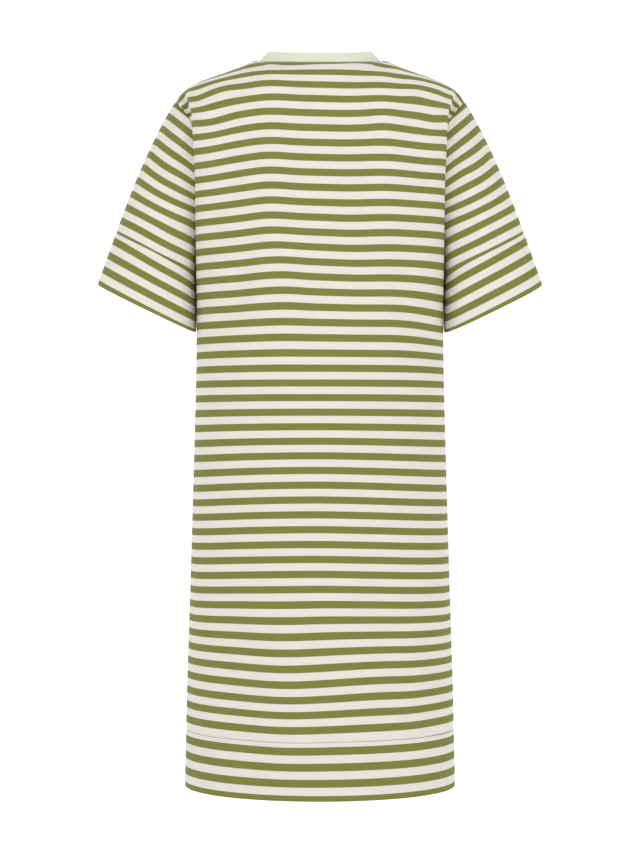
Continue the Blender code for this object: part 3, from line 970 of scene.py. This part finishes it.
def stripe_colour(tree, leg):
    """Return green or cream by the count of stripes, with edges that follow the loops."""
    math = arithmetic(tree)
    count, _ = read_layer(tree, "stripes")
    ragged = math("MULTIPLY", math("SUBTRACT", leg, MEAN_LEG), STRIPE_RAGGED)
    place = math("FRACT", math("ADD", count, ragged))
    off = math("ABSOLUTE", math("SUBTRACT", place, 0.5))
    edge = (GREEN_SHARE / 2 - STRIPE_BLUR, GREEN_SHARE / 2 + STRIPE_BLUR)
    creamy = map_range(tree, off, edge, (0.0, 1.0), "SMOOTHSTEP")
    return mix_colours(tree, creamy, GREEN, CREAM, "MIX")


def yarn_tone_and_painted_light(tree, loop, valley, fuzz):
    """Return how light the yarn is, as a grey, with painted highlight on loops and painted shade in
    valleys.
    """
    math = arithmetic(tree)
    spots = add_noise(tree, *SPOT_NOISE)
    # Painted highlight on the loops' raised crowns
    shade = math("ADD", SHADE, math("MULTIPLY", loop, LOOP_PAINTED_HIGHLIGHT))
    shade = math("ADD", shade, math("MULTIPLY", math("SUBTRACT", fuzz, 0.5), FUZZ_SHADE))
    shade = math("ADD", shade, math("MULTIPLY", math("SUBTRACT", spots, 0.5), SPOT_SHADE))
    # Painted shade in the valleys between the columns of loops
    shade = math("ADD", shade, math("MULTIPLY", valley, VALLEY_PAINTED_SHADE))
    grey = tree.nodes.new("ShaderNodeCombineColor")
    for socket in grey.inputs:
        tree.links.new(shade, socket)
    return grey.outputs[0]


def seam_pucker(tree):
    """Return small waves along the seams, one to a stitch, that die out beside them."""
    math = arithmetic(tree)
    u, v = read_layer(tree, "cloth")
    _, seam = read_layer(tree, "stripes")
    stitch = math("SINE", math("MULTIPLY", math("ADD", u, v), 2 * np.pi / STITCH))
    near = map_range(tree, seam, (0.0, PUCKER_REACH_MM), (1.0, 0.0), "LINEAR")
    return math("MULTIPLY", stitch, near)


def make_material(name):
    """Return a new material, its nodes and its shader."""
    material = bpy.data.materials.new(name)
    material.use_nodes = True
    return material, material.node_tree, material.node_tree.nodes["Principled BSDF"]


def make_cloth(name, plain=None):
    """Return knitted cloth in a plain colour, or striped where none is given."""
    material, tree, shader = make_material(name)
    math = arithmetic(tree)
    leg, loop, valley = knit_loops(tree)
    fuzz = add_noise(tree, *FUZZ_NOISE)
    colour = plain or stripe_colour(tree, leg)
    # The yarn's tone darkens the colour, along with its painted highlight on loops and painted
    # shade in valleys
    colour = mix_colours(tree, 1.0, colour, yarn_tone_and_painted_light(tree, loop, valley, fuzz), "MULTIPLY")
    tree.links.new(colour, shader.inputs["Base Color"])
    rough = math("ADD", ROUGHNESS, math("MULTIPLY", fuzz, FUZZ_ROUGHNESS))
    tree.links.new(rough, shader.inputs["Roughness"])

    knit = math("ADD", math("MULTIPLY", loop, LOOP_HEIGHT), math("MULTIPLY", valley, VALLEY_HEIGHT))
    knit = math("ADD", knit, math("MULTIPLY", fuzz, FUZZ_HEIGHT))
    bump = add_bump(tree, knit, *KNIT_BUMP)
    pucker = add_bump(tree, seam_pucker(tree), *PUCKER_BUMP)
    tree.links.new(bump.outputs[0], pucker.inputs["Normal"])
    tree.links.new(pucker.outputs[0], shader.inputs["Normal"])
    shader.inputs["Sheen Weight"].default_value = SHEEN
    shader.inputs["Sheen Roughness"].default_value = SHEEN_ROUGHNESS
    shader.inputs["Specular IOR Level"].default_value = SHINE
    return material


def shell_points(net, normals, thickness, seam):
    """Return the points of a shell's outer face and then its inner face, rounded at the edges."""
    half = thickness / 2
    near = np.clip(seam / half, 0.0, 1.0)
    thin = half * (1 - np.sqrt(1 - (1 - near) ** 2)) * (1 - EDGE_LEFT)
    dip = SEAM_DIP * np.exp(-(seam / SEAM_DIP_WIDTH) ** 2)
    outer = net - normals * (thin + dip)[..., None]
    inner = net - normals * (thickness - thin + dip)[..., None]
    return np.concatenate((outer.reshape(-1, 3), inner.reshape(-1, 3)))


def shell_rims(rows, columns, around):
    """Return a shell's edges, each as its points and the next ones, in the net and in a layer."""
    last = columns if around else columns - 1
    wide = columns + 1 if around else columns
    loop = np.arange(last)
    step = (loop + 1) % columns
    base = (rows - 1) * columns
    mark = (rows - 1) * wide
    edges = [(step, loop, loop + 1, loop),
             (base + loop, base + step, mark + loop, mark + loop + 1)]
    if not around:
        up = np.arange(rows - 1) * columns
        side = up + columns - 1
        edges.append((up, up + columns, up, up + columns))
        edges.append((side + columns, side, side + columns, side))
    return edges


def shell_faces(rows, columns, around):
    """Return a shell's outer faces, all its faces, and their corners' places in a UV layer.

    A layer has one column more than the net where the net goes all round, so that it can close.
    """
    wide = columns + 1 if around else columns
    last = columns if around else columns - 1
    row = np.repeat(np.arange(rows - 1), last)
    column = np.tile(np.arange(last), rows - 1)
    over = (column + 1) % columns
    first = row * columns
    quads = np.stack((first + column, first + over,
                      first + columns + over, first + columns + column), axis=1)
    first = row * wide
    marks = np.stack((first + column, first + column + 1,
                      first + wide + column + 1, first + wide + column), axis=1)
    inner = rows * columns
    faces = [quads, quads[:, ::-1] + inner]
    corners = [marks, marks[:, ::-1]]
    for a, b, mark_a, mark_b in shell_rims(rows, columns, around):
        faces.append(np.stack((a, b, b + inner, a + inner), axis=1))
        corners.append(np.stack((mark_a, mark_b, mark_b, mark_a), axis=1))
    return quads, np.concatenate(faces), np.concatenate(corners)


def faces_out(points, quads, normals):
    """Tell whether the outer faces look out of the cloth."""
    start = points[quads[:, 0]]
    way = np.cross(points[quads[:, 1]] - start, points[quads[:, 3]] - start)
    return np.sum(way * normals.reshape(-1, 3)[quads[:, 0]]) >= 0


def make_mesh(name, points, faces, corners, layers):
    """Return a smooth mesh of four-sided faces with its UV layers."""
    mesh = bpy.data.meshes.new(name)
    mesh.vertices.add(len(points))
    mesh.vertices.foreach_set("co", points.ravel())
    mesh.loops.add(faces.size)
    mesh.loops.foreach_set("vertex_index", faces.ravel())
    mesh.polygons.add(len(faces))
    mesh.polygons.foreach_set("loop_start", np.arange(0, faces.size, 4))
    mesh.update(calc_edges=True)
    mesh.validate()
    for layer, pair in layers.items():
        values = np.stack([part.ravel()[corners.ravel()] for part in pair], axis=1)
        mesh.uv_layers.new(name=layer).data.foreach_set("uv", values.ravel())
    mesh.shade_smooth()
    return mesh


def add_object(name, data):
    """Add an object to the scene."""
    added = bpy.data.objects.new(name, data)
    bpy.context.scene.collection.objects.link(added)
    return added


def add_shell(name, node, net, normals, thickness, around, places_on, material):
    """Make one piece of cloth from its net, with (across, up, stripes) at each of its places."""
    rows, columns = net.shape[:2]
    seam = from_edges(net, around)
    points = shell_points(net, normals, thickness, seam)
    quads, faces, corners = shell_faces(rows, columns, around)
    if not faces_out(points, quads, normals):
        faces = faces[:, ::-1]
        corners = corners[:, ::-1]
    if around:
        seam = closed(seam)
    across, up, stripes = places_on
    layers = {"cloth": (across, up), "stripes": (stripes, seam * 1000)}
    mesh = make_mesh(name, points, faces, corners, layers)
    mesh.materials.append(material)
    piece = add_object(name, mesh)
    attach(piece, "root")
    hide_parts(node)
    return piece


def body_rows():
    """Return how many rows of a body net are in the hem band, below the armhole and the yoke."""
    band, skirt = body_heights()
    below_armhole = len(band) + len(skirt)
    return len(band), below_armhole, below_armhole + ARMHOLE_ROWS + 1


def add_jersey(name, node, rows, net, out, around, places_on, jersey):
    """Make one piece of jersey from some rows of a net."""
    places_on = [values[rows] for values in places_on]
    return add_shell(name, node, net[rows], out[rows], JERSEY, around,
                     places_on, jersey)


def build_side(name, net, out, jersey):
    """Build the panel and the hem band of the back or the front."""
    band_rows, _, below_yoke = body_rows()
    upper = slice(band_rows, None)
    lower = slice(band_rows)
    net = crease(net, out, name)
    count = body_stripes(net, below_yoke)
    hem_count = (net[..., 2] - HEM_GREEN) / HEM_PITCH + 0.5
    u, v = across_and_up(net, False)
    piece = add_jersey("jersey_" + name, name + "_panel", upper, net, out, False,
                       (u, v, count), jersey)
    piece = add_jersey("jersey_hem_" + name, "hem_band_" + name, lower, net, out, False,
                       (u, v, hem_count), jersey)


def build_sleeve(name, net, out, distance, inner, jersey):
    """Build a sleeve and its band from the net of a sleeve on the right."""
    turn = EDGES[name][1]
    net = crease_sleeve(net * turn, out * turn)
    out = out * turn
    distance = distance + sleeve_sway(net[..., 0], net[..., 2])
    inner = closed(np.broadcast_to(inner, distance.shape))
    distance = closed(distance)
    u, v = across_and_up(net, True)
    band_rows = len(places(0.0, SLEEVE_BAND, BAND_ROWS, True, True))
    upper = slice(band_rows, None)
    lower = slice(band_rows)
    cuff_count = (distance - CUFF_GREEN + CUFF_GREEN_TURN * inner) / CUFF_PITCH + 0.5
    count = (distance - SLEEVE_GREEN - SLEEVE_GREEN_TURN * inner) / SLEEVE_PITCH + 0.5
    piece = add_jersey("jersey_sleeve_" + name, "sleeve_" + name, upper, net, out, True,
                       (u, v, count), jersey)
    piece = add_jersey("jersey_cuff_" + name, "sleeve_band_" + name, lower, net, out, True,
                       (u, v, cuff_count), jersey)


def build_neckband(rib):
    """Build the neckband with its ribs."""
    net, heights, whole = neckband_net()
    out = net_normals(net, True, net.mean(axis=1, keepdims=True))
    rib_at = np.arange(net.shape[1]) * 2 * np.pi / POINTS_A_RIB
    depth = RIB_HALF_DEPTH * (1 + np.cos(rib_at))
    fade = smooth_step(from_edges(net, True) / RIB_FADE)
    net = net - out * (depth * fade)[..., None]
    u, v = across_and_up(net, True)
    piece = add_shell("rib_neckband", "neckband", net, out, NECK_RIB, True,
                      (u, v, v), rib)


def build_dress():
    """Build every piece of cloth."""
    jersey = make_cloth("striped_jersey")
    nets = {name: body_side(side) for name, side in SIDES.items()}
    outs = {name: net_normals(net, False, np.zeros(3)) for name, net in nets.items()}
    join_body(outs["back"], outs["front"], body_rows()[1] + 1)
    sleeves = {}
    for name in EDGES:
        ring_normals = armhole_normals(outs["back"], outs["front"], name)
        net, distance, inner = sleeve_net(ring_normals, CUFF_TILT[name])
        out = net_normals(net, True, net.mean(axis=1, keepdims=True))
        join_sleeve(out, outs["back"], outs["front"], name)
        sleeves[name] = (net, out, distance, inner)
    for name in SIDES:
        build_side(name, nets[name], outs[name], jersey)
    for name, parts in sleeves.items():
        build_sleeve(name, *parts, jersey)
    build_neckband(make_cloth("cream_rib", NECK_CREAM))


def floor_profile():
    """Return the radius and height of the floor's rings, from the inmost to the top."""
    profile = [(FLOOR_FLAT * ring / FLOOR_RINGS, FLOOR_Z) for ring in range(1, FLOOR_RINGS + 1)]
    for ring in range(1, TURN_RINGS + 1):
        angle = np.pi / 2 * ring / TURN_RINGS
        profile.append((FLOOR_FLAT + FLOOR_TURN * np.sin(angle),
                        FLOOR_Z + FLOOR_TURN * (1 - np.cos(angle))))
    profile.append((FLOOR_FLAT + FLOOR_TURN, FLOOR_Z + FLOOR_HEIGHT))
    return profile


def floor_meshes():
    """Return the floor's rings and its round middle."""
    around = np.linspace(0.0, 2 * np.pi, FLOOR_SIDES, endpoint=False)
    points = [(r * np.cos(a), r * np.sin(a), z) for r, z in floor_profile() for a in around]
    faces = []
    for start in range(0, len(points) - FLOOR_SIDES, FLOOR_SIDES):
        above = start + FLOOR_SIDES
        for i in range(FLOOR_SIDES):
            step = (i + 1) % FLOOR_SIDES
            faces.append((start + i, start + step, above + step, above + i))
    rings = bpy.data.meshes.new("studio_floor")
    rings.from_pydata(points, [], faces)
    middle = bpy.data.meshes.new("studio_floor_middle")
    middle.from_pydata(points[:FLOOR_SIDES], [], [tuple(range(FLOOR_SIDES))])
    return rings, middle


def build_floor():
    """Add the round floor that sweeps up all round."""
    material, _, shader = make_material("pale_floor")
    shader.inputs["Base Color"].default_value = FLOOR_COLOUR
    shader.inputs["Roughness"].default_value = FLOOR_ROUGHNESS
    shader.inputs["Emission Color"].default_value = WHITE
    shader.inputs["Emission Strength"].default_value = FLOOR_GLOW
    for mesh in floor_meshes():
        mesh.shade_smooth()
        mesh.materials.append(material)
        floor = add_object(mesh.name, mesh)


def add_light(name, place, power):
    """Add a large soft light that faces the dress."""
    data = bpy.data.lights.new(name, "AREA")
    data.size = LIGHT_SIZE
    data.energy = power
    light = add_object(name, data)
    light.location = place
    way = Vector(LIT_PLACE) - Vector(place)
    light.rotation_euler = way.to_track_quat("-Z", "Y").to_euler()


def build_lights():
    """Add the soft light from all round and the large lights."""
    world = bpy.data.worlds.new("soft_white")
    bpy.context.scene.world = world
    world.use_nodes = True
    background = world.node_tree.nodes["Background"]
    background.inputs["Color"].default_value = WHITE
    background.inputs["Strength"].default_value = WORLD_LIGHT
    for name, (x, y, z), power in LIGHTS:
        add_light(name + "_left", (-x, y, z), power)
        add_light(name + "_right", (x, y, z), power)


def build_camera():
    """Add the camera, level and square to the back."""
    data = bpy.data.cameras.new("camera")
    data.lens = CAMERA_LENS
    data.sensor_width = CAMERA_SENSOR
    camera = add_object("camera", data)
    camera.location = CAMERA_PLACE
    camera.rotation_euler = (np.pi / 2, 0.0, 0.0)
    bpy.context.scene.camera = camera
    bpy.context.scene.view_settings.view_transform = "Standard"


build_dress()
build_floor()
build_lights()
build_camera()
bpy.context.view_layer.update()
